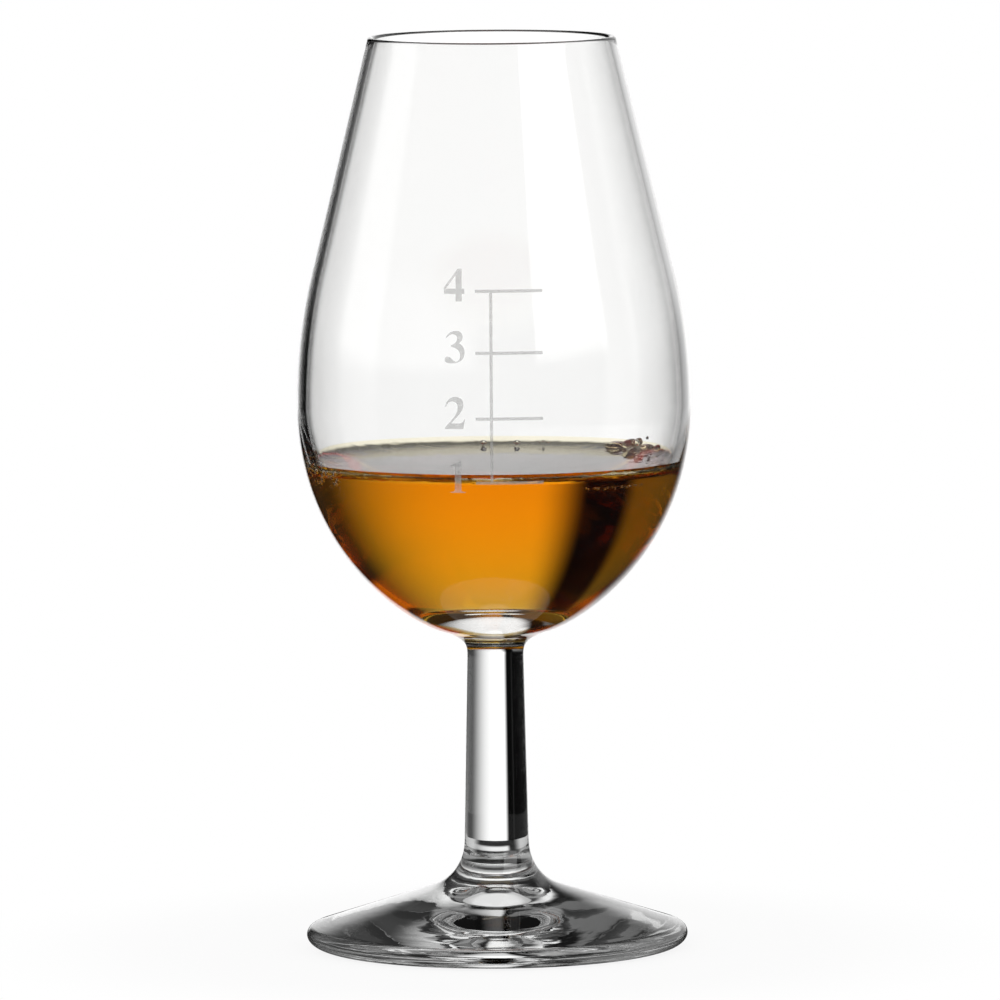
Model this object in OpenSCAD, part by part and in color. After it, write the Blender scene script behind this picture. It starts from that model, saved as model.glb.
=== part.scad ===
// Stemmed whisky nosing glass with a measure of whisky in it and an enamel scale on its front.
// All sizes are in millimetres. The origin is the middle of the foot's resting plane, +Z runs up the
// axis, and the scale faces -Y.

/* [Bowl] */
// Outer radius of the bowl at its widest ring
bowl_r = 33; // [29:0.5:37]
// Height from the widest ring up to the rim
bowl_upper_h = 61.5; // [50:0.5:70]
// Depth from the widest ring down to the collar
bowl_lower_h = 38.3; // [33:0.1:44]
// How far the belly heads straight down from the widest ring before it turns in
belly_pull = 26; // [20:0.5:30]
// How far the underside heads out from the collar before it turns up
base_pull = 4.6; // [2:0.1:8]
// Rise of the underside where it leaves the collar, in degrees
base_tilt = 9.7; // [4:0.1:20]
// Outer radius at the rim
rim_r = 20.85; // [18:0.05:24]
// Height over which the shoulder curves, before the wall runs straight up to the rim
shoulder_h = 21.7; // [14:0.1:30]
// Wall thickness at the rim
rim_wall = 1.2; // [0.8:0.1:1.8]
// Wall thickness at the widest ring
bowl_wall = 1.5; // [1:0.1:2.2]
// Thickness of the solid glass from the collar up to where the hollow's ellipse would close
base_t = 5.5; // [3:0.1:8]
// Height of the low dome in the middle of the hollow's floor
floor_h = 2.5; // [0:0.1:4]
// Radius at which the dome of the floor has fallen to a third
floor_r = 8.5; // [6:0.1:11]

/* [Collar] */
// Outer radius of the collar where it leaves the bowl
collar_r = 8.6; // [6.5:0.05:10]
// Height of the collar, down to the weld on the stem
collar_h = 3.05; // [1.6:0.05:4]

/* [Stem] */
// Length of the stem between its two welds
stem_h = 32.45; // [20:0.05:50]
// Radius of the stem at the upper weld
stem_top_r = 4.7; // [3.6:0.1:5.6]
// Radius of the stem at the lower weld
stem_low_r = 5.4; // [4.4:0.05:6.5]

/* [Foot] */
// Outer radius of the foot
foot_r = 32; // [30:0.2:36]
// Radius of the hollow curve that flares out of the neck
flare_r = 8; // [5:0.1:10]
// Fall of the foot's upper face, in degrees
foot_slope = 18; // [10:0.2:22]
// Height of the foot's widest ring above the table
edge_h = 2.1; // [1.6:0.1:3.4]
// Radius that rounds the upper side of the edge
edge_round = 1.55; // [0.8:0.05:2.4]
// Outer radius of the flat ring that the glass stands on
ring_r = 28.7; // [26:0.1:29.8]
// Width of the flat ring that the glass stands on
ring_w = 1.6; // [0.8:0.1:3]
// Height of the wide hollow under the foot, leaving out its dimple
kick_h = 2; // [1.5:0.1:4.5]
// Height of the dimple above the wide hollow
dimple_h = 5; // [0:0.1:6]
// Radius at which the dimple has fallen to a third
dimple_r = 4.5; // [3:0.1:6]

/* [Whisky] */
// Depth of the whisky from where the hollow's ellipse would close to its level surface
whisky_depth = 22.5; // [10:0.1:29]
// Height that the whisky climbs up the wall
meniscus_h = 1.6; // [0.6:0.1:2.4]
// Width of the curve that the whisky climbs in
meniscus_w = 3; // [2:0.2:5]
// Clearance between the whisky and the wall
whisky_gap = 0.1; // [0.05:0.01:0.2]

/* [Scale] */
// Thickness of the fired enamel
enamel_t = 0.12; // [0.05:0.01:0.3]
// Width of the upright line and height of each tick
line_w = 0.5; // [0.3:0.05:1]
// Distance of the upright line to the right of the middle, as seen from the front
line_x = -0.4; // [-3:0.1:3]
// Distance from the upright line out to the left end of each tick
tick_left = 2.6; // [1:0.1:5]
// Distance from the upright line out to the right end of each tick
tick_right = 8.5; // [4:0.1:12]
// Height of the first tick above the bowl's widest ring
tick_1_h = -10.4; // [-14:0.1:-8]
// Height of the second tick above the bowl's widest ring
tick_2_h = 0.3; // [-2:0.1:3]
// Height of the third tick above the bowl's widest ring
tick_3_h = 11.1; // [9:0.1:14]
// Height of the fourth tick above the bowl's widest ring
tick_4_h = 21.2; // [19:0.1:25]
// Height of the numerals
numeral_h = 5.3; // [3.5:0.1:7]
// Gap between the numerals and the ticks' left ends
numeral_gap = 1.75; // [0.8:0.05:3]
// Depth of the numerals' feet below their ticks
numeral_drop = 1.65; // [0:0.05:2.5]

/* [Hidden] */

$fn = 96;

// Steps along the belly and each quarter ellipse, along the shoulder, and along a numeral's curves
ellipse_steps = 36;
arc_steps = 8;
curve_steps = 6;
// Steps along the hollow under the foot, and how much closer they lie at the dimple
hollow_steps = 20;
hollow_spread = 1.3;
// How far the cut that shapes the enamel reaches past it
overrun = 2;
// Shape of the collar, where 1 is a straight cone and more is more hollow
collar_curve = 2.2;
// Shape of the floor's dome and of the foot's dimple, where more is flatter on top and steeper
floor_curve = 4;
dimple_curve = 3;
// Shape of the whisky's climb up the wall
meniscus_curve = 3;

// Heights above the table
foot_edge_r = foot_r - edge_round;
slope_low_r = foot_edge_r + edge_round * sin(foot_slope);
slope_low_z = edge_h + edge_round * cos(foot_slope);
slope_top_r = stem_low_r + flare_r * (1 - sin(foot_slope));
slope_top_z = slope_low_z + (slope_low_r - slope_top_r) * tan(foot_slope);
foot_h = slope_top_z + flare_r * cos(foot_slope);
stem_top_z = foot_h + stem_h;
collar_top_z = stem_top_z + collar_h;
widest_z = collar_top_z + bowl_lower_h;
rim_z = widest_z + bowl_upper_h;

// The hollow of the bowl
hollow_r = bowl_r - bowl_wall;
mouth_r = rim_r - rim_wall;
hollow_h = bowl_lower_h - base_t;
hollow_low_z = widest_z - hollow_h;
lip_r = rim_wall / 2;
lip_z = rim_z - lip_r;

whisky_z = hollow_low_z + whisky_depth;

tick_heights = [tick_1_h, tick_2_h, tick_3_h, tick_4_h];

// Lean of the straight wall, by halving, at which arc and line together draw in by the given amount
function wall_lean(draw_in, arc_h, line_h, low = 0, high = 80, turns = 40) =
    let(middle = (low + high) / 2)
    let(reached = arc_h * tan(middle / 2) + line_h * tan(middle))
    turns == 0 ? middle :
    reached < draw_in ? wall_lean(draw_in, arc_h, line_h, middle, high, turns - 1) :
    wall_lean(draw_in, arc_h, line_h, low, middle, turns - 1);

// Points of a wall from the widest ring up to the lip: an arc, then a straight run
function upper_wall(wide_r, top_r) =
    let(line_h = lip_z - widest_z - shoulder_h)
    let(lean = wall_lean(wide_r - top_r, shoulder_h, line_h))
    let(arc_r = shoulder_h / sin(lean))
    [for (i = [1:arc_steps])
        let(turn = lean * i / arc_steps)
        [wide_r - arc_r * (1 - cos(turn)), widest_z + arc_r * sin(turn)],
    [top_r, lip_z]];

// Height of a bell of the given height and width at a radius
function bell(r, height, width, curve) = height * exp(-pow(r / width, curve));

// Points of the hollow from its domed floor along a quarter ellipse up to a turn towards the widest ring
function hollow_wall(wide_r, depth, end_turn = 90) =
    [for (i = [0:ellipse_steps])
        let(turn = end_turn * i / ellipse_steps)
        let(r = wide_r * sin(turn))
        [r, widest_z - depth * cos(turn) + bell(r, floor_h, floor_r, floor_curve)]];

// Points of the underside and the belly, as one curve that both ends pull at
belly_start = [collar_r, collar_top_z];
belly_start_pull = belly_start + base_pull * [cos(base_tilt), sin(base_tilt)];
belly_end = [bowl_r, widest_z];
belly_end_pull = belly_end - [0, belly_pull];
belly_wall =
    [for (i = [0:ellipse_steps])
        let(t = i / ellipse_steps)
        pow(1 - t, 3) * belly_start
        + 3 * t * pow(1 - t, 2) * belly_start_pull
        + 3 * t * t * (1 - t) * belly_end_pull
        + pow(t, 3) * belly_end];

function reversed(points) = [for (i = [len(points) - 1:-1:0]) points[i]];

outer_wall = concat(belly_wall, upper_wall(bowl_r, rim_r));

inner_wall = concat(hollow_wall(hollow_r, hollow_h), upper_wall(hollow_r, mouth_r));

lip = [for (i = [1:arc_steps - 1])
    let(turn = 180 * i / arc_steps)
    [rim_r - lip_r + lip_r * cos(turn), lip_z + lip_r * sin(turn)]];

collar_side = [for (i = [0:arc_steps - 1])
    let(down = i / arc_steps)
    [stem_top_r + (collar_r - stem_top_r) * pow(down, collar_curve), stem_top_z + collar_h * down]];

// Outlines of the numerals, in shares of their height. A row of two is the end of a straight run, and
// a row of four is the pull and the end of a curve. The first row is reached from the last.
one_shares = [
    [0.03, 0.87], [0.33, 1], [0.37, 1], [0.37, 0.1], [0.37, 0.03, 0.5, 0.03], [0.5, 0],
    [0.04, 0], [0.04, 0.03], [0.17, 0.03, 0.17, 0.1], [0.17, 0.78], [0.17, 0.85, 0.11, 0.85],
    [0.08, 0.85, 0.03, 0.84]];
two_shares = [
    [0.01, 0.7], [0.09, 0.99, 0.33, 1], [0.58, 0.99, 0.58, 0.75], [0.58, 0.6, 0.42, 0.42],
    [0.19, 0.17], [0.44, 0.17], [0.56, 0.17, 0.6, 0.3], [0.63, 0.3], [0.57, 0], [0, 0], [0, 0.03],
    [0.3, 0.38], [0.41, 0.53, 0.4, 0.68], [0.39, 0.86, 0.23, 0.86], [0.11, 0.86, 0.04, 0.7]];
three_shares = [
    [0.04, 0.79], [0.15, 1, 0.36, 1], [0.56, 1, 0.56, 0.81], [0.56, 0.7, 0.44, 0.62],
    [0.62, 0.54, 0.62, 0.35], [0.62, 0, 0.2, 0], [0, 0, 0, 0.11], [0.01, 0.2, 0.09, 0.2],
    [0.16, 0.2, 0.23, 0.12], [0.29, 0.05, 0.35, 0.05], [0.48, 0.07, 0.48, 0.25],
    [0.47, 0.46, 0.2, 0.52], [0.2, 0.55], [0.39, 0.62, 0.39, 0.78], [0.38, 0.9, 0.25, 0.9],
    [0.15, 0.9, 0.07, 0.78]];
four_shares = [
    [0, 0.42], [0.43, 1], [0.55, 1], [0.55, 0.39], [0.63, 0.39], [0.63, 0.23], [0.55, 0.23],
    [0.55, 0], [0.36, 0], [0.36, 0.23], [0, 0.23]];
four_hole_shares = [[0.06, 0.39], [0.36, 0.8], [0.36, 0.39]];

enamel_colour = [0.85, 0.85, 0.84];

function row_end(row) = [row[len(row) - 2], row[len(row) - 1]];

// Points of a numeral's outline at its real height
function glyph(shares) =
    [for (i = [0:len(shares) - 1])
        let(row = shares[i])
        let(start = row_end(shares[i == 0 ? len(shares) - 1 : i - 1]))
        let(pull = [row[0], row[1]])
        let(steps = len(row) == 2 ? 1 : curve_steps)
        for (k = [1:steps])
            let(along = k / steps)
            numeral_h * (len(row) == 2 ? row :
                pow(1 - along, 2) * start
                + 2 * along * (1 - along) * pull
                + pow(along, 2) * row_end(row))];

module bowl() {
    color([0.9, 0.94, 0.95, 0.35])
        rotate_extrude()
            polygon(concat([[0, stem_top_z]], collar_side, outer_wall, lip, reversed(inner_wall)));
}

module stem() {
    color([0.88, 0.93, 0.95, 0.5])
        translate([0, 0, foot_h])
            cylinder(h = stem_h, r1 = stem_low_r, r2 = stem_top_r);
}

module foot() {
    kick_r = ring_r - ring_w;
    hollow = [for (i = [0:hollow_steps - 1])
        let(r = kick_r * pow(i / hollow_steps, hollow_spread))
        [r, kick_h * (1 - pow(r / kick_r, 2)) + bell(r, dimple_h, dimple_r, dimple_curve)]];
    ring = [[kick_r, 0], [ring_r, 0]];
    edge_low = [for (i = [1:arc_steps])
        let(turn = 90 * i / arc_steps)
        [ring_r + (foot_r - ring_r) * sin(turn), edge_h * (1 - cos(turn))]];
    edge_top = [for (i = [1:arc_steps])
        let(turn = (90 - foot_slope) * i / arc_steps)
        [foot_edge_r + edge_round * cos(turn), edge_h + edge_round * sin(turn)]];
    flare = [for (i = [0:arc_steps])
        let(turn = 90 - foot_slope - (90 - foot_slope) * i / arc_steps)
        [stem_low_r + flare_r * (1 - cos(turn)), foot_h - flare_r * sin(turn)]];
    color([0.88, 0.93, 0.95, 0.5])
        rotate_extrude()
            polygon(concat(hollow, ring, edge_low, edge_top, flare, [[0, foot_h]]));
}

module whisky() {
    wet_r = hollow_r - whisky_gap;
    wet_h = hollow_h - whisky_gap;
    climb_z = whisky_z + meniscus_h;
    // Turn round the ellipse at which the whisky leaves the wall
    climb_turn = acos((widest_z - climb_z) / wet_h);
    edge_r = wet_r * sin(climb_turn);
    side = hollow_wall(wet_r, wet_h, climb_turn);
    surface = [for (i = [1:arc_steps])
        let(inward = i / arc_steps)
        [edge_r - meniscus_w * inward, whisky_z + meniscus_h * pow(1 - inward, meniscus_curve)]];
    color([0.8, 0.45, 0.05, 0.8])
        rotate_extrude()
            polygon(concat(side, surface, [[0, whisky_z]]));
}

// A skin of enamel on the front of the bowl, cut to the flat outline that is drawn as its child
module enamel() {
    skin = [for (p = outer_wall) [p[0] + enamel_t, p[1]]];
    intersection() {
        rotate_extrude()
            polygon(concat(outer_wall, reversed(skin)));
        rotate([90, 0, 0])
            linear_extrude(height = bowl_r + overrun)
                children();
    }
}

function tick_z(count) = widest_z + tick_heights[count - 1];

module scale_ladder() {
    line_h = tick_z(len(tick_heights)) - tick_z(1) + line_w;
    color(enamel_colour)
        enamel() {
            translate([line_x - line_w / 2, tick_z(1) - line_w / 2])
                square([line_w, line_h]);
            for (count = [1:len(tick_heights)])
                translate([line_x - tick_left, tick_z(count) - line_w / 2])
                    square([tick_left + tick_right, line_w]);
        }
}

// One numeral, with its right side in line with the others and its feet a little below its tick
module numeral(count, shares, hole_shares = []) {
    width = max([for (p = glyph(shares)) p[0]]);
    right_x = line_x - tick_left - numeral_gap;
    color(enamel_colour)
        enamel()
            translate([right_x - width, tick_z(count) - numeral_drop])
                difference() {
                    polygon(glyph(shares));
                    if (len(hole_shares) > 0)
                        polygon(glyph(hole_shares));
                }
}

module numeral_1() numeral(1, one_shares);

module numeral_2() numeral(2, two_shares);

module numeral_3() numeral(3, three_shares);

module numeral_4() numeral(4, four_shares, four_hole_shares);

bowl();
stem();
foot();
whisky();
scale_ladder();
numeral_1();
numeral_2();
numeral_3();
numeral_4();
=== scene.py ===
from math import acos, acosh, cos, exp, pi, radians, sin, sqrt, tan
from random import Random
import bpy
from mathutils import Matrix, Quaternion, Vector


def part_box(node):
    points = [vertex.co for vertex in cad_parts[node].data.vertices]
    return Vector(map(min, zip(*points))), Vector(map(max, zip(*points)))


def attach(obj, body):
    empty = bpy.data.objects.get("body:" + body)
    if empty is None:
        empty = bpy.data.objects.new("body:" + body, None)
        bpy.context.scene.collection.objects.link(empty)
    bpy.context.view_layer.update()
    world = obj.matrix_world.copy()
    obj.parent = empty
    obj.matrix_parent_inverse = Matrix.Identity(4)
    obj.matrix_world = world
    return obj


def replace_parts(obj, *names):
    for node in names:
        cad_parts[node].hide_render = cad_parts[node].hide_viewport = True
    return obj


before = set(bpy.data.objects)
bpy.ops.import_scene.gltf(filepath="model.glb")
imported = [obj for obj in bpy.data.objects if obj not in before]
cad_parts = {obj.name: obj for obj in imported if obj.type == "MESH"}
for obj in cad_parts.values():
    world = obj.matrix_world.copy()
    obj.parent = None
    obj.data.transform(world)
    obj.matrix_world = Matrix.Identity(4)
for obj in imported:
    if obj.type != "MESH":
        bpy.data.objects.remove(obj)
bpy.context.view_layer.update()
mm = 0.001
hair = 0.01  # mm, within which two heights count as the same
inDegrees = 180 / pi


def boxInMm(node):
    low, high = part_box(node)
    return low / mm, high / mm


# A socket whose maths is written as Python
class Wire:
    def __init__(self, graph, socket):
        self.graph = graph
        self.socket = socket

    def out(self, name):
        return Wire(self.graph, self.socket.node.outputs[name])

    def __add__(self, other):
        return self.graph.maths("ADD", self, other)

    def __radd__(self, other):
        return self.graph.maths("ADD", other, self)

    def __sub__(self, other):
        return self.graph.maths("SUBTRACT", self, other)

    def __rsub__(self, other):
        return self.graph.maths("SUBTRACT", other, self)

    def __mul__(self, other):
        return self.graph.maths("MULTIPLY", self, other)

    def __rmul__(self, other):
        return self.graph.maths("MULTIPLY", other, self)


# The nodes of one material or of the world
class Graph:
    def __init__(self, tree):
        self.tree = tree
        tree.nodes.clear()

    def node(self, kind, settings=None, sockets=None):
        made = self.tree.nodes.new(kind)
        for name, value in (settings or {}).items():
            setattr(made, name, value)
        for name, value in (sockets or {}).items():
            if isinstance(value, Wire):
                self.tree.links.new(value.socket, made.inputs[name])
            else:
                made.inputs[name].default_value = value
        return Wire(self, made.outputs[0]) if made.outputs else None

    def maths(self, operation, *values):
        return self.node("ShaderNodeMath", {"operation": operation}, dict(enumerate(values)))

    def vector(self, operation, *values):
        return self.node("ShaderNodeVectorMath", {"operation": operation}, dict(enumerate(values)))

    # 0 below start, 1 above end, and a soft step between them
    def rise(self, value, start, end):
        return self.node("ShaderNodeMapRange", {"interpolation_type": "SMOOTHSTEP"}, {
            "Value": value, "From Min": start, "From Max": end, "To Min": 0.0, "To Max": 1.0})

    # 1 between a soft step up and a soft step down, and 0 outside them
    def band(self, value, start, full, fade, end):
        return self.rise(value, start, full) * (1 - self.rise(value, fade, end))

    def noise(self, place, scale, detail, distortion):
        return self.node("ShaderNodeTexNoise", {}, {
            "Vector": place, "Scale": scale, "Detail": detail, "Distortion": distortion}).out("Fac")

    # Unevenness, from a height and what 1 of it is in mm
    def relief(self, height, most):
        return self.node("ShaderNodeBump", {}, {
            "Strength": 1.0, "Distance": most * mm, "Height": height})

    # A clear body with a smooth surface
    def clear(self, sockets):
        return self.node("ShaderNodeBsdfPrincipled", {}, {
            "Base Color": (1, 1, 1, 1), "Roughness": 0.0, "Transmission Weight": 1.0} | sockets)

    def finish(self, kind, sockets):
        self.node(kind, {"is_active_output": True}, sockets)


# From the first value where the share is 0 to the second where it is 1
def mixed(share, first, second):
    return share * (second - first) + first


def newMaterial(name):
    material = bpy.data.materials.new(name)
    material.use_nodes = True
    return material, Graph(material.node_tree)


# A long lens a little above the glass
camera = {
    "place": (0, -1.8804, 0.2575),
    "aim": (0.00093, 0, 0.0752),
    "lens": 405.8,  # mm
    "sensor": 36,  # mm
    "roll": 0.378,  # degrees
}


def addCamera():
    place = Vector(camera["place"])
    bpy.ops.object.camera_add(location=place)
    made = bpy.context.object
    made.data.lens = camera["lens"]
    made.data.sensor_width = camera["sensor"]
    turn = (Vector(camera["aim"]) - place).to_track_quat("-Z", "Y")
    made.rotation_mode = "QUATERNION"
    made.rotation_quaternion = turn @ Quaternion((0, 0, 1), radians(-camera["roll"]))
    bpy.context.scene.camera = made
    print("camera placed")


# The studio as the glass shows it: a white backdrop, a black flag on its left, and soft boxes.
# Directions are in degrees, aside to the right of the backdrop and up above the table. Each pair is
# a soft step from its first number to its second
room = {
    "plain": 0.9,  # what lights rough surfaces
    "dropBright": 1.16,  # the backdrop
    "dropLeft": (-16.5, -11),
    "dropLeftHigh": 5,  # how much softer its left edge is higher up
    "dropRight": (2, 44),
    "rightShade": 0.06,
    "dropTop": (6, 34),
    "topShade": 0.6,  # what is left of it above that
    "dropLow": (-22, -32),
    "lowShade": 0.1,  # and below that
    "flagLeft": (-25, -31),  # beyond the flag the room is dim, and only above the table
    "highFrom": (-3, 5),
    "leftShade": 0.17,
    "behindAside": (62, 80),
    "behindShade": 0.05,
    "groundFrom": (-17, -23),
    "groundAside": (26, 42),
    "groundShade": 0.6,
    "mirroredShade": 0.02,  # what the outside mirrors from below
    "mirroredFrom": (6, -2),
    "mirroredAside": (12, 28),
    "overShade": 0.05,  # and from above
    "overFrom": (14, 26),
    "mirroredBoxes": [  # and these soft boxes over both
        {"aside": (12, 30, 85, 95), "up": (-2, 5, 34, 44), "bright": 0.75},
        {"aside": (106, 109, 154, 156), "up": (5, 9, 60, 70), "bright": 2.2},
    ],
    "boxes": [  # soft boxes and dark gaps in all that the glass shows
        {"aside": (-26, -25, -24, -23), "up": (-40, -30, -2, 2), "bright": 0.015},
        {"aside": (-108, -103, -77, -72), "up": (-60, -50, 45, 60), "bright": 0.6},
        {"aside": (98, 101, 151, 154), "up": (26, 33, 70, 80), "bright": 1.0},
        {"aside": (50, 70, 160, 175), "up": (-30, -22, -12, -8), "bright": 0.9},
    ],
}


def lightRoom():
    world = bpy.data.worlds.new("studio")
    bpy.context.scene.world = world
    world.use_nodes = True
    sky = Graph(world.node_tree)
    ray = sky.node("ShaderNodeLightPath")
    direction = sky.node("ShaderNodeTexCoord").out("Generated")
    parts = sky.node("ShaderNodeSeparateXYZ", {}, {0: direction})
    aside = sky.maths("ARCTAN2", parts.out("X"), parts.out("Y")) * inDegrees
    eitherSide = sky.maths("ABSOLUTE", aside)
    up = sky.maths("ARCSINE", parts.out("Z")) * inDegrees

    def box(place):
        return sky.band(aside, *place["aside"]) * sky.band(up, *place["up"])

    right = 1 - sky.rise(aside, *room["dropRight"])
    top = mixed(sky.rise(up, *room["dropTop"]), 1, room["topShade"])
    low = mixed(sky.rise(up, *room["dropLow"]), 1, room["lowShade"])
    drop = mixed(right, room["rightShade"], room["dropBright"]) * top * low
    high = sky.rise(up, *room["highFrom"])
    beyond = sky.rise(aside, *room["flagLeft"]) * high
    inDrop = sky.rise(aside, room["dropLeft"][0], high * room["dropLeftHigh"] + room["dropLeft"][1])
    shade = inDrop * drop + (1 - inDrop) * beyond * room["leftShade"]
    shade = mixed(sky.rise(eitherSide, *room["behindAside"]), shade, room["behindShade"])
    ground = sky.rise(up, *room["groundFrom"]) * sky.rise(eitherSide, *room["groundAside"])
    shade = mixed(ground, shade, room["groundShade"])
    for place in room["boxes"]:
        shade = mixed(box(place), shade, place["bright"])
    mirrored = 1 - ray.out("Is Transmission Ray")
    below = sky.rise(eitherSide, *room["mirroredAside"]) * sky.rise(up, *room["mirroredFrom"])
    shade = mixed(mirrored * below, shade, room["mirroredShade"])
    over = sky.rise(up, *room["overFrom"])
    shade = mixed(mirrored * over, shade, room["overShade"])
    for place in room["mirroredBoxes"]:
        shade = mixed(mirrored * box(place), shade, place["bright"])
    seen = sky.maths("MAXIMUM", ray.out("Is Glossy Ray"), ray.out("Is Transmission Ray"))
    lit = mixed(seen, room["plain"], shade)
    lit = sky.maths("MAXIMUM", lit, ray.out("Is Camera Ray"))
    glow = sky.node("ShaderNodeBackground", {}, {"Color": (1, 1, 1, 1), "Strength": lit})
    sky.finish("ShaderNodeOutputWorld", {"Surface": glow})
    print("room lit")


# Lengths are in metres, and each pair is a soft step from its first number to its second
table = {
    "radius": 0.1,
    "corners": 96,
    "drop": 0.00005,  # below the foot, so that the faces don't touch
    "colour": (0.9, 0.9, 0.9, 1),
    "glowNear": 0.88,  # how white the camera sees it under the foot, whatever shadow falls there
    "glowFar": (0.05, 0.095),
    # Painted light and shade that the glass shows on the table in place of how it is lit: its
    # brightness by place and by ray
    "inGlass": 0.3,  # how bright the table is in the glass, on the whole
    "straight": 0.62,  # and where no face has mirrored it on the way
    "strip": 0.02,  # and straight behind the glass
    "stripAside": (20, 36),  # degrees
    "sweep": 0.95,  # a painted bright band at the back, as where it would run up into the backdrop
    "sweepFrom": (0.03, 0.045),
    "sweepTo": (0.055, 0.07),
    "front": 0.3,  # at the front, most to the left
    "frontFrom": (-0.025, -0.05),
    "frontRight": (-0.01, 0.04),
    "paintedPool": 0.9,  # and a painted pool of light where the foot would gather light on it
    "paintedPoolReach": (0.004, 0.008),
    "mirrored": 0.02,  # as the outside of the glass mirrors it
}


def addTable():
    bpy.ops.object.select_all(action="DESELECT")
    bpy.ops.mesh.primitive_circle_add(vertices=table["corners"], radius=table["radius"],
                                      fill_type="NGON", location=(0, 0, -table["drop"]))
    top = bpy.context.object
    top.name = "table"
    material, paper = newMaterial("white_table")
    ray = paper.node("ShaderNodeLightPath")
    place = paper.node("ShaderNodeTexCoord").out("Object")
    parts = paper.node("ShaderNodeSeparateXYZ", {}, {0: place})
    across, back = parts.out("X"), parts.out("Y")
    aside = paper.maths("ARCTAN2", across, back) * inDegrees
    reach = paper.vector("LENGTH", place).out("Value")
    inGlass = paper.maths("MAXIMUM", ray.out("Is Glossy Ray"), ray.out("Is Transmission Ray"))
    seen = paper.maths("MAXIMUM", inGlass, ray.out("Is Camera Ray"))
    share = seen * mixed(paper.rise(reach, *table["glowFar"]), table["glowNear"], 1)
    share = paper.maths("MAXIMUM", share, inGlass)
    straight = paper.maths("LESS_THAN", ray.out("Glossy Depth"), 1)
    around = mixed(straight, table["inGlass"], table["straight"])
    beside = paper.rise(paper.maths("ABSOLUTE", aside), *table["stripAside"])
    shade = mixed(beside, table["strip"], around)
    sweep = paper.band(back, *table["sweepFrom"], *table["sweepTo"])
    sweep = sweep * paper.band(aside, *room["dropLeft"], *room["dropRight"])
    shade = mixed(sweep, shade, table["sweep"])
    front = paper.rise(back, *table["frontFrom"]) * (1 - paper.rise(across, *table["frontRight"]))
    shade = mixed(front, shade, table["front"])
    # Painted pool of light under the foot
    paintedPool = 1 - paper.rise(reach, *table["paintedPoolReach"])
    shade = mixed(paintedPool, shade, table["paintedPool"])
    shade = mixed(1 - ray.out("Is Transmission Ray"), shade, table["mirrored"])
    matt = paper.node("ShaderNodeBsdfDiffuse", {}, {"Color": table["colour"]})
    # The table glows: plain white for the camera, and for the glass with the painted light and shade
    # above
    glow = paper.node("ShaderNodeEmission", {}, {
        "Color": (1, 1, 1, 1), "Strength": mixed(inGlass, 1, shade)})
    both = paper.node("ShaderNodeMixShader", {}, {0: share, 1: matt, 2: glow})
    paper.finish("ShaderNodeOutputMaterial", {"Surface": both})
    top.data.materials.append(material)
    print("table laid")


turned = {
    "segments": 240,
    "mergeReach": 0.002,  # mm
    "smoothAngle": 40,  # degrees
}


# A corner drawn along the profile in edit mode, turned round the axis and closed
def turnProfile(name, profile):
    bpy.ops.object.select_all(action="DESELECT")
    bpy.ops.mesh.primitive_plane_add(size=mm)
    piece = bpy.context.object
    piece.name = name
    bpy.ops.object.mode_set(mode="EDIT")
    bpy.ops.mesh.select_all(action="SELECT")
    bpy.ops.mesh.merge(type="CENTER")
    reached = (0, 0)
    for count, (radius, height) in enumerate(profile):
        step = ((radius - reached[0]) * mm, 0, (height - reached[1]) * mm)
        if count == 0:
            bpy.ops.transform.translate(value=step)
        else:
            bpy.ops.mesh.extrude_region_move(TRANSFORM_OT_translate={"value": step})
        reached = (radius, height)
    bpy.ops.object.mode_set(mode="OBJECT")
    bpy.ops.object.modifier_add(type="SCREW")
    screw = piece.modifiers[-1]
    screw.angle = 2 * pi
    screw.axis = "Z"
    screw.steps = screw.render_steps = turned["segments"]
    bpy.ops.object.modifier_apply(modifier=screw.name)
    bpy.ops.object.mode_set(mode="EDIT")
    bpy.ops.mesh.select_all(action="SELECT")
    bpy.ops.mesh.remove_doubles(threshold=turned["mergeReach"] * mm)
    bpy.ops.mesh.normals_make_consistent(inside=False)
    bpy.ops.object.mode_set(mode="OBJECT")
    bpy.ops.object.shade_smooth_by_angle(angle=radians(turned["smoothAngle"]))
    return piece


# Gives a material to the faces that a test picks out
def paint(piece, material, picked):
    piece.data.materials.append(material)
    slot = len(piece.data.materials) - 1
    for face in piece.data.polygons:
        if picked(face):
            face.material_index = slot


# Height of a bell-shaped rise at a radius
def bell(radius, height, width, curve):
    return height * exp(-(radius / width) ** curve)


# Points of a curve that leaves its start and reaches its end towards a pull each
def pulled(start, startPull, endPull, end, steps):
    points = []
    for i in range(steps + 1):
        t = i / steps
        shares = ((1 - t) ** 3, 3 * t * (1 - t) ** 2, 3 * t * t * (1 - t), t ** 3)
        points.append(tuple(sum(share * p[k] for share, p in zip(
            shares, (start, startPull, endPull, end))) for k in (0, 1)))
    return points


# The same line with its points at equal distances
def evenly(points, step):
    made, left = [points[0]], step
    for (r0, z0), (r1, z1) in zip(points, points[1:]):
        length = sqrt((r1 - r0) ** 2 + (z1 - z0) ** 2)
        while left <= length:
            share = left / length
            made.append((r0 + (r1 - r0) * share, z0 + (z1 - z0) * share))
            left += step
        left -= length
    return made + [points[-1]]


# The same line with its corners melted over the given reach
def melted(points, step, reach):
    points = evenly(points, step)
    passes = round(2 * (reach / step) ** 2)  # each adds half a square step to the square of the reach
    for _ in range(passes):
        points = [points[0]] + [
            tuple((a[k] + 2 * b[k] + c[k]) / 4 for k in (0, 1))
            for a, b, c in zip(points, points[1:], points[2:])] + [points[-1]]
    return points


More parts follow.
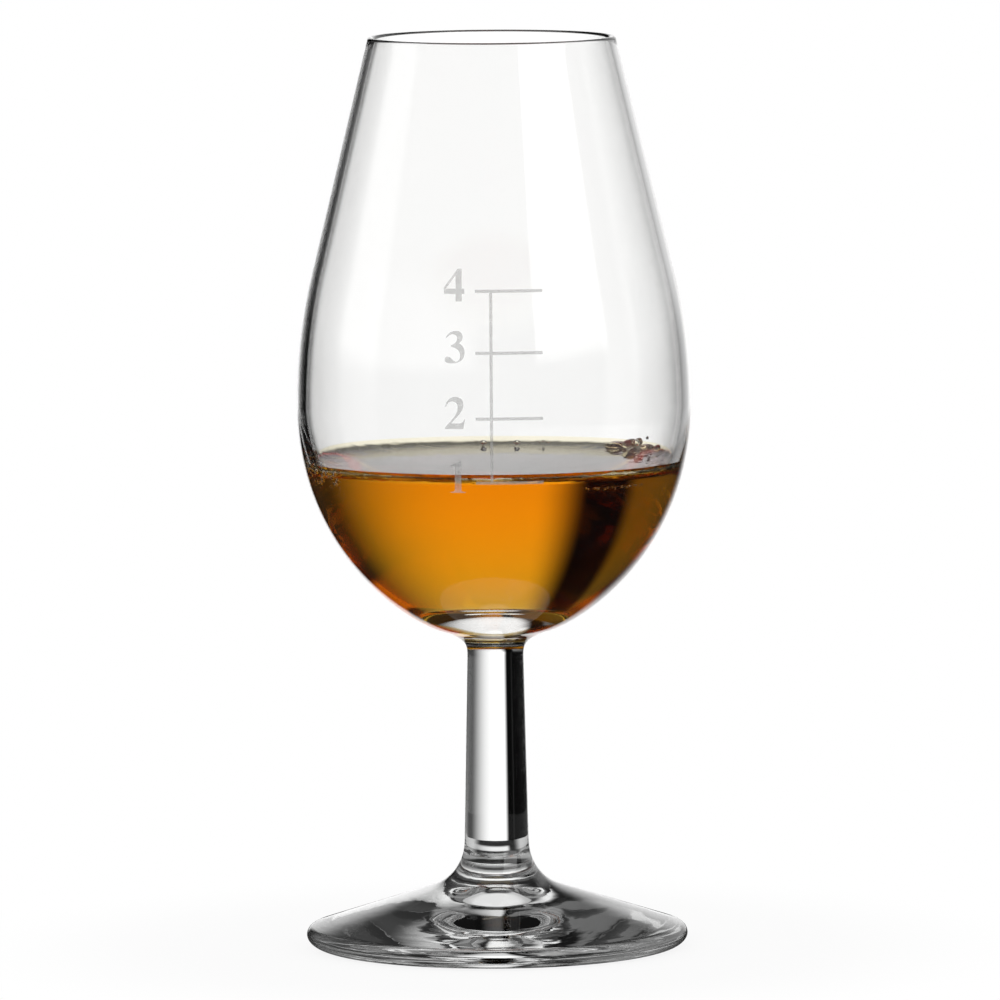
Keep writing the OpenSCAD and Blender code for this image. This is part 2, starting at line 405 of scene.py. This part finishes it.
# The part of a rising line between two heights, with its ends worked out
def between(points, low, high):
    def radiusAt(height):
        for (r0, z0), (r1, z1) in zip(points, points[1:]):
            if z0 <= height <= z1:
                return r0 + (r1 - r0) * (height - z0) / (z1 - z0)
    middle = [p for p in points if low + hair < p[1] < high - hair]
    return [(radiusAt(low), low)] + middle + [(radiusAt(high), high)]


# Lengths of the glass and the whisky are in mm, angles in degrees
bowlShape = {
    "upperHeight": 61.5,  # from the widest ring to the rim
    "rimRadius": 20.85,
    "shoulderHeight": 21.7,
    "rimWall": 1.2,
    "wall": 1.5,
    "bellyPull": 26.0,  # how far the belly heads straight down before it turns in
    "basePull": 4.6,  # how far it heads back out from the collar
    "baseTilt": 9.7,
    "base": 5.5,  # glass from the collar up to where the hollow's ellipse would close
    "floorRise": 2.5,
    "floorRadius": 8.5,
    "floorCurve": 4,
    "floorFacing": 0.7,  # how far up the floor's faces look, at least
    "collarRadius": 8.6,
    "collarHeight": 3.05,
    "collarCurve": 2.2,
    "ellipseSteps": 72,
    "arcSteps": 20,
    "lineSteps": 24,
}

bowlLow, bowlHigh = boxInMm("bowl")
bowlRadius = bowlHigh.x
hollowRadius = bowlRadius - bowlShape["wall"]
widestHeight = bowlHigh.z - bowlShape["upperHeight"]
collarTop = bowlLow.z + bowlShape["collarHeight"]
hollowDepth = widestHeight - collarTop - bowlShape["base"]


# Lean of the straight wall, at which arc and line together draw in by the given amount
def wallLean(drawIn, arcHeight, lineHeight):
    low, high = 0.0, pi / 3
    halvings = 40
    for _ in range(halvings):
        middle = (low + high) / 2
        if arcHeight * tan(middle / 2) + lineHeight * tan(middle) < drawIn:
            low = middle
        else:
            high = middle
    return middle


# The wall above the widest ring: an arc, then a straight run up to the lip
def upperWall(wideRadius, topRadius, lipHeight):
    arcHeight = bowlShape["shoulderHeight"]
    lean = wallLean(wideRadius - topRadius, arcHeight, lipHeight - widestHeight - arcHeight)
    arcRadius = arcHeight / sin(lean)
    steps = bowlShape["arcSteps"]
    turns = [lean * i / steps for i in range(1, steps + 1)]
    arc = [(wideRadius - arcRadius * (1 - cos(t)), widestHeight + arcRadius * sin(t)) for t in turns]
    radius, height = arc[-1]
    steps = bowlShape["lineSteps"]
    return arc + [(radius + (topRadius - radius) * i / steps,
                   height + (lipHeight - height) * i / steps) for i in range(1, steps + 1)]


# Points of the hollow from its domed floor up an ellipse, between two turns towards the widest ring
def hollowWall(across, down, start, end, steps):
    points = []
    for i in range(steps + 1):
        turn = start + (end - start) * i / steps
        radius = across * sin(turn)
        rise = bell(radius, bowlShape["floorRise"], bowlShape["floorRadius"],
                    bowlShape["floorCurve"])
        points.append((radius, widestHeight - down * cos(turn) + rise))
    return points


# Radius of the hollow at a height under the widest ring
def hollowAt(height):
    return hollowRadius * sqrt(1 - ((widestHeight - height) / hollowDepth) ** 2)


whiskyShape = {
    "settled": 0.3,  # how far its top lies under that of the CAD's whisky
    "climb": 1.95,  # nearly as high as a liquid can climb a wall that leans this much
    "capillary": 1.79,  # sets how fast the climb dies away from the wall
    "least": 0.01,  # the height at which the climb ends
    "wetting": 0.025,  # how far the liquid reaches into the wall, so that no air is between them
    "sideSteps": 72,
    "climbSteps": 30,
    "levelRing": 0.5,  # a ring in the level top, as a share of the way out to the climb
    "topFacing": 0.1,  # how far up the faces of its top look, at least
}

whiskyTop = boxInMm("whisky")[1].z - whiskyShape["settled"]


# Turn at which the whisky leaves the wall
def wetTurn(down):
    return acos((widestHeight - whiskyTop) / down)


def addWhisky(surface, body):
    across = hollowRadius + whiskyShape["wetting"]
    down = hollowDepth + whiskyShape["wetting"]
    level = whiskyTop - whiskyShape["climb"]
    side = hollowWall(across, down, 0, wetTurn(down), whiskyShape["sideSteps"])
    edge = side[-1][0]
    scale = whiskyShape["capillary"]

    # Distance from the wall at which the climb has this height, for a liquid at rest
    def reach(height):
        share = height / scale
        return scale * (acosh(2 / share) - sqrt(4 - share * share))

    free = []
    for i in range(1, whiskyShape["climbSteps"] + 1):
        left = whiskyShape["climb"] * (whiskyShape["least"] / whiskyShape["climb"]) ** (
            i / whiskyShape["climbSteps"])
        free.append((edge - reach(left) + reach(whiskyShape["climb"]), level + left))
    free += [(free[-1][0] * whiskyShape["levelRing"], level), (0, level)]
    piece = turnProfile("poured_whisky", side + free)
    piece.data.materials.append(surface)
    paint(piece, body, lambda face: face.normal.z < whiskyShape["topFacing"])
    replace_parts(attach(piece, "whisky"), "whisky")
    print("whisky poured", len(piece.data.polygons))


stemShape = {"topRadius": 4.7}

stemLow, stemHigh = boxInMm("stem")

footShape = {
    "flare": 8,  # radius of the curve from the stem into the slope
    "slope": 18,
    "edgeHeight": 2.1,
    "edgeRound": 1.55,
    "ringRadius": 28.7,  # of the ring that it stands on
    "ringWidth": 1.6,
    "kick": 2.0,  # how high the hollow within the ring rises
    "dimpleHeight": 5.0,  # and how much higher in its middle
    "dimpleRadius": 4.5,
    "dimpleCurve": 3,
    "arcSteps": 24,
    "hollowSteps": 90,
    "crowding": 1.3,  # over 1, the rings of the hollow lie closer towards its middle
}

footHigh = boxInMm("foot")[1]

weldLook = {
    "melt": 0.7,  # over what length its corners were melted
    "meltStep": 0.4,
    "level": 0.999,  # how upright its flat faces stand, at least
    "clear": (1, 1, 1, 1),
    # painted shade on the light that goes up through a weld
    "fromBelow": (0.2, 0.2, 0.2, 1),
}


# The outside from the foot's slope up the neck, the stem and the collar to the belly, as one line,
# because the welds were melted smooth
def glassOutline():
    slope = radians(footShape["slope"])
    middle = footHigh.x - footShape["edgeRound"]
    steps = footShape["arcSteps"]
    line = [(middle + footShape["edgeRound"] * sin(slope),
             footShape["edgeHeight"] + footShape["edgeRound"] * cos(slope))]
    for i in range(steps + 1):
        turn = (pi / 2 - slope) * (1 - i / steps)
        line.append((stemHigh.x + footShape["flare"] * (1 - cos(turn)),
                     footHigh.z - footShape["flare"] * sin(turn)))
    rise = collarTop - bowlLow.z
    steps = bowlShape["arcSteps"]
    for i in range(steps):
        up = i / steps
        spread = (bowlShape["collarRadius"] - stemShape["topRadius"]) * up ** bowlShape["collarCurve"]
        line.append((stemShape["topRadius"] + spread, bowlLow.z + rise * up))
    tilt = radians(bowlShape["baseTilt"])
    collarPull = (bowlShape["collarRadius"] + bowlShape["basePull"] * cos(tilt),
                  collarTop + bowlShape["basePull"] * sin(tilt))
    line += pulled((bowlShape["collarRadius"], collarTop), collarPull,
                   (bowlRadius, widestHeight - bowlShape["bellyPull"]), (bowlRadius, widestHeight),
                   bowlShape["ellipseSteps"])
    return melted(line, weldLook["meltStep"], weldLook["melt"])


# The flat faces where two pieces are fused let light straight through
def paintWelds(piece, weld, heights):
    def fused(face):
        level = abs(face.normal.z) > weldLook["level"]
        return level and any(abs(face.center.z / mm - height) < hair for height in heights)
    paint(piece, weld, fused)


# Light passes straight down through a weld, and light going up through it is darkened: a painted
# shade that keeps the whisky's colour out of the foot
def makeWeld():
    material, melt = newMaterial("fused_weld")
    clear = melt.node("ShaderNodeBsdfTransparent", {}, {"Color": weldLook["clear"]})
    paintedShade = melt.node("ShaderNodeBsdfTransparent", {}, {"Color": weldLook["fromBelow"]})
    towards = melt.node("ShaderNodeNewGeometry").out("True Normal")
    up = melt.node("ShaderNodeSeparateXYZ", {}, {0: towards}).out("Z")
    both = melt.node("ShaderNodeMixShader", {}, {
        0: melt.maths("LESS_THAN", up, 0), 1: clear, 2: paintedShade})
    melt.finish("ShaderNodeOutputMaterial", {"Surface": both})
    return material


def addBowl(glass, wetGlass, weld, outline):
    lip = bowlShape["rimWall"] / 2
    lipHeight = bowlHigh.z - lip
    arcSteps = bowlShape["arcSteps"]
    outside = between(outline, bowlLow.z, widestHeight)
    outside += upperWall(bowlRadius, bowlShape["rimRadius"], lipHeight)
    wet = wetTurn(hollowDepth)
    inside = hollowWall(hollowRadius, hollowDepth, 0, wet, bowlShape["ellipseSteps"])
    inside += hollowWall(hollowRadius, hollowDepth, wet, pi / 2, arcSteps)[1:]
    inside += upperWall(hollowRadius, bowlShape["rimRadius"] - bowlShape["rimWall"], lipHeight)
    turns = [pi * i / arcSteps for i in range(1, arcSteps)]
    rim = [(bowlShape["rimRadius"] - lip + lip * cos(t), lipHeight + lip * sin(t)) for t in turns]
    piece = turnProfile("blown_bowl", [(0, bowlLow.z)] + outside + rim + inside[::-1])
    piece.data.materials.append(glass)
    paintWelds(piece, weld, [bowlLow.z])

    def wetted(face):
        inward = face.center.x * face.normal.x + face.center.y * face.normal.y < 0
        within = inward or face.normal.z > bowlShape["floorFacing"]
        return within and face.center.z / mm < whiskyTop

    paint(piece, wetGlass, wetted)
    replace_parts(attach(piece, "glass"), "bowl")
    print("bowl blown", len(piece.data.polygons))


def addStem(glass, weld, outline):
    low, high = stemLow.z, stemHigh.z
    piece = turnProfile("drawn_stem", [(0, low)] + between(outline, low, high) + [(0, high)])
    piece.data.materials.append(glass)
    paintWelds(piece, weld, [low, high])
    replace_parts(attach(piece, "glass"), "stem")
    print("stem drawn", len(piece.data.polygons))


def addFoot(glass, weld, outline):
    steps = footShape["arcSteps"]
    shares = [i / steps for i in range(steps + 1)]
    slope = radians(footShape["slope"])
    radius = footHigh.x
    kickRadius = footShape["ringRadius"] - footShape["ringWidth"]
    hollow = []
    for i in range(footShape["hollowSteps"] + 1):
        out = kickRadius * (i / footShape["hollowSteps"]) ** footShape["crowding"]
        dimple = bell(out, footShape["dimpleHeight"], footShape["dimpleRadius"],
                      footShape["dimpleCurve"])
        hollow.append((out, footShape["kick"] * (1 - (out / kickRadius) ** 2) + dimple))
    edgeLow = [(footShape["ringRadius"] + (radius - footShape["ringRadius"]) * sin(s * pi / 2),
                footShape["edgeHeight"] * (1 - cos(s * pi / 2))) for s in shares]
    turns = [(pi / 2 - slope) * s for s in shares[1:]]
    middle = radius - footShape["edgeRound"]
    edgeTop = [(middle + footShape["edgeRound"] * cos(t),
                footShape["edgeHeight"] + footShape["edgeRound"] * sin(t)) for t in turns]
    upper = between(outline, outline[0][1], footHigh.z)
    profile = hollow + edgeLow + edgeTop[:-1] + upper + [(0, footHigh.z)]
    piece = turnProfile("pressed_foot", profile)
    piece.data.materials.append(glass)
    paintWelds(piece, weld, [footHigh.z])
    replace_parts(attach(piece, "glass"), "foot")
    print("foot pressed", len(piece.data.polygons))


# Places are the angle in degrees from the back to the right and the height in mm. Half sizes are
# across, up and into the bowl
splashShape = {
    "drops": [
        ((60.8, 83.2), (0.4, 0.35, 0.3)),
        ((-96, 82.8), (0.6, 0.8, 0.5)),
        ((-101, 82.4), (0.7, 0.6, 0.5)),
        ((-108, 82.6), (0.45, 0.5, 0.4)),
        ((-113, 82.3), (0.6, 0.4, 0.4)),
    ],
    "taper": -0.45,  # the drops narrow upwards
    "lump": [
        ((47.5, 81.2), (3.2, 0.9, 2.6)),
        ((53.5, 81.7), (1.8, 1.1, 2.2)),
        ((57, 82.1), (1.0, 1.0, 1.6)),
        ((64, 81.5), (2.4, 0.7, 1.6)),
        ((72, 81.7), (1.2, 0.8, 1.1)),
    ],
    "lumpGrain": 0.12,  # mm
    "lumpBubble": ((56.5, 82.0), 0.7),  # a place and a radius
    "rings": [  # bubbles at the back, alike
        ((-3.6, 81.15), 0.66),
        ((7.8, 81.15), 0.62),
        ((15.4, 81.2), 0.26),
        ((16.8, 81.5), 0.3),
        ((18.6, 81.1), 0.34),
    ],
    "foam": {"number": 44, "aside": (-122, -90), "up": (79.2, 81.4), "radius": (0.15, 0.55)},
    "beads": {"number": 30, "aside": (122, 150), "up": (79.4, 79.8), "radius": (0.1, 0.26)},
    "bubbleHeight": 0.9,  # as a share of its width
    "bubbleGap": 0.05,  # between it and the wall
    "blobSides": (24, 16),  # round it and from top to bottom
    "smoothAngle": 50,
    "seed": 5,
}


# A rounded body on the inside of the wall, cut off flat where it wets the glass
def addBlob(place, size, inset, flat, taper):
    angle, height = place
    across, up, inward = size
    sides, rows = splashShape["blobSides"]
    bpy.ops.object.select_all(action="DESELECT")
    bpy.ops.mesh.primitive_uv_sphere_add(segments=sides, ring_count=rows, radius=mm)
    blob = bpy.context.object
    bpy.ops.object.mode_set(mode="EDIT")
    bpy.ops.mesh.select_all(action="SELECT")
    bpy.ops.transform.resize(value=(across, inward, up))
    if flat:
        bpy.ops.mesh.bisect(plane_co=(0, 0, 0), plane_no=(0, 1, 0), clear_outer=True)
        bpy.ops.mesh.extrude_edges_move()
        bpy.ops.mesh.merge(type="CENTER")
    bpy.ops.object.mode_set(mode="OBJECT")
    if taper:
        bpy.ops.object.modifier_add(type="SIMPLE_DEFORM")
        narrowing = blob.modifiers[-1]
        narrowing.deform_method = "TAPER"
        narrowing.deform_axis = "Z"
        narrowing.factor = taper
        bpy.ops.object.modifier_apply(modifier=narrowing.name)
    turn = radians(angle)
    reach = (hollowAt(height) - inset) * mm
    blob.location = (reach * sin(turn), reach * cos(turn), height * mm)
    blob.rotation_euler = (0, 0, -turn)
    bpy.ops.object.transform_apply(location=True, rotation=True, scale=False)
    return blob


def addBubble(place, radius):
    size = (radius, radius * splashShape["bubbleHeight"], radius)
    return addBlob(place, size, radius + splashShape["bubbleGap"], False, 0)


def joined(name, blobs, material):
    bpy.ops.object.select_all(action="DESELECT")
    for blob in blobs:
        blob.select_set(True)
    bpy.context.view_layer.objects.active = blobs[0]
    bpy.ops.object.join()
    piece = bpy.context.object
    piece.name = name
    piece.data.materials.append(material)
    bpy.ops.object.shade_smooth_by_angle(angle=radians(splashShape["smoothAngle"]))
    return piece


def addSplash(liquor, air):
    wetting = -whiskyShape["wetting"]
    drops = [addBlob(place, size, wetting, True, splashShape["taper"])
             for place, size in splashShape["drops"]]
    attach(joined("whisky_drops", drops, liquor), "glass")
    lump = [addBlob(place, size, wetting, True, 0) for place, size in splashShape["lump"]]
    lump = joined("whisky_lump", lump, liquor)
    bpy.ops.object.modifier_add(type="REMESH")
    grain = lump.modifiers[-1]
    grain.mode = "VOXEL"
    grain.voxel_size = splashShape["lumpGrain"] * mm
    grain.use_smooth_shade = True
    bpy.ops.object.modifier_apply(modifier=grain.name)
    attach(lump, "glass")
    chance = Random(splashShape["seed"])
    bubbles = [addBubble(*ring) for ring in splashShape["rings"]]
    bubbles.append(addBubble(*splashShape["lumpBubble"]))
    for swarm in (splashShape["foam"], splashShape["beads"]):
        for _ in range(swarm["number"]):
            place = (chance.uniform(*swarm["aside"]), chance.uniform(*swarm["up"]))
            bubbles.append(addBubble(place, chance.uniform(*swarm["radius"])))
    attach(joined("whisky_bubbles", bubbles, air), "glass")
    print("splash added", len(drops), len(lump.data.polygons), len(bubbles))


glassLook = {
    "ior": 1.52,
    # The bowl's glass is greyer than the stem's and the foot's: a painted shade that tones the bowl
    # down
    "colour": {"blown": (0.966, 0.966, 0.962, 1), "drawn": (0.99, 0.995, 0.99, 1),
               "pressed": (0.99, 0.995, 0.99, 1)},
    # How often its unevenness changes round the axis, outwards and up, per metre, and how high in mm
    "blown": {"around": 1.6, "outward": 30, "along": 18, "distortion": 0.4, "height": 0.02},
    "drawn": {"around": 5.0, "outward": 0, "along": 8, "distortion": 0.0, "height": 0.004},
    "pressed": {"around": 1.8, "outward": 260, "along": 0, "distortion": 0.7, "height": 0.05},
    "detail": 1.0,
}


# Glass whose surface is as uneven as its making leaves it
def makeGlass(name, ior, making):
    material, melt = newMaterial(name)
    place = melt.node("ShaderNodeTexCoord").out("Object")
    uneven = glassLook[making]
    outward = melt.vector("MULTIPLY", place, (1, 1, 0))
    radius = melt.vector("LENGTH", outward).out("Value")
    turn = melt.node("ShaderNodeVectorMath", {"operation": "SCALE"}, {
        0: melt.vector("NORMALIZE", outward), "Scale": uneven["around"]})
    height = melt.node("ShaderNodeSeparateXYZ", {}, {0: place}).out("Z")
    rise = radius * uneven["outward"] + height * uneven["along"]
    upward = melt.node("ShaderNodeCombineXYZ", {}, {"Z": rise})
    wave = melt.noise(melt.vector("ADD", turn, upward), 1.0, glassLook["detail"],
                      uneven["distortion"])
    body = melt.clear({"Base Color": glassLook["colour"][making], "IOR": ior,
                       "Normal": melt.relief(wave, uneven["height"])})
    melt.finish("ShaderNodeOutputMaterial", {"Surface": body})
    return material


whiskyLook = {
    "ior": 1.36,
    "absorption": 116,  # per metre, for the colour that goes first
    "colour": (0.97, 0.78, 0.0, 1),
    "rippleScale": 260,  # per metre
    "rippleDetail": 1.0,
    "rippleDistortion": 0.8,
    "ripple": 0.05,  # mm
    "edgeFrom": (0.024, 0.029),  # metres from the axis, where the surface is more uneven
    "edgeRipple": 4.0,
}


# The air of a bubble in the whisky
def makeAir():
    material, bubble = newMaterial("bubble_air")
    bubble.finish("ShaderNodeOutputMaterial", {
        "Surface": bubble.clear({"IOR": 1 / whiskyLook["ior"]})})
    return material


# Where the whisky wets the wall, the wall's own faces bend the light, and the whisky only colours it
def makeWhisky(name, ior):
    material, liquor = newMaterial(name)
    place = liquor.node("ShaderNodeTexCoord").out("Object")
    wave = liquor.noise(place, whiskyLook["rippleScale"], whiskyLook["rippleDetail"],
                        whiskyLook["rippleDistortion"])
    outward = liquor.vector("MULTIPLY", place, (1, 1, 0))
    radius = liquor.vector("LENGTH", outward).out("Value")
    uneven = liquor.rise(radius, *whiskyLook["edgeFrom"]) * whiskyLook["edgeRipple"] + 1
    body = liquor.clear({"IOR": ior, "Normal": liquor.relief(wave * uneven, whiskyLook["ripple"])})
    depth = liquor.node("ShaderNodeVolumeAbsorption", {}, {
        "Color": whiskyLook["colour"], "Density": whiskyLook["absorption"]})
    liquor.finish("ShaderNodeOutputMaterial", {"Surface": body, "Volume": depth})
    return material


enamelLook = {
    "colour": (0.5, 0.5, 0.49, 1),
    "roughness": 0.55,
    "alpha": 0.3,
    "grain": 0.3,  # how much the alpha changes from grain to grain
    "grainScale": 6000.0,  # per metre
    "grainDetail": 2.0,
}


def makeEnamel():
    material, enamel = newMaterial("fired_enamel")
    place = enamel.node("ShaderNodeTexCoord").out("Object")
    grain = enamel.noise(place, enamelLook["grainScale"], enamelLook["grainDetail"], 0.0)
    thin = enamelLook["alpha"] - enamelLook["grain"] / 2
    body = enamel.node("ShaderNodeBsdfPrincipled", {}, {
        "Base Color": enamelLook["colour"], "Roughness": enamelLook["roughness"],
        "Alpha": thin + grain * enamelLook["grain"]})
    enamel.finish("ShaderNodeOutputMaterial", {"Surface": body})
    return material


def fireEnamel(enamel):
    for name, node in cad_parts.items():
        if name == "scale_ladder" or name.startswith("numeral"):
            node.data.materials.clear()
            node.data.materials.append(enamel)
    print("enamel fired")


rays = {
    "max_bounces": 40,
    "transmission_bounces": 40,
    "glossy_bounces": 20,
    "diffuse_bounces": 4,
    "transparent_max_bounces": 40,
}


def setRays():
    for name, number in rays.items():
        setattr(bpy.context.scene.cycles, name, number)
    bpy.context.scene.view_settings.view_transform = "Standard"
    print("rays set")


addCamera()
lightRoom()
addTable()
setRays()
weldMaterial = makeWeld()
glassLine = glassOutline()
wetIor = glassLook["ior"] / whiskyLook["ior"]  # of the glass, as light in the whisky meets it
addBowl(makeGlass("blown_glass", glassLook["ior"], "blown"),
        makeGlass("wetted_glass", wetIor, "blown"),
        weldMaterial, glassLine)
addStem(makeGlass("drawn_glass", glassLook["ior"], "drawn"), weldMaterial, glassLine)
addFoot(makeGlass("pressed_glass", glassLook["ior"], "pressed"), weldMaterial, glassLine)
whiskySurface = makeWhisky("whisky_surface", whiskyLook["ior"])
addWhisky(whiskySurface, makeWhisky("whisky_body", 1.0))
addSplash(whiskySurface, makeAir())
fireEnamel(makeEnamel())
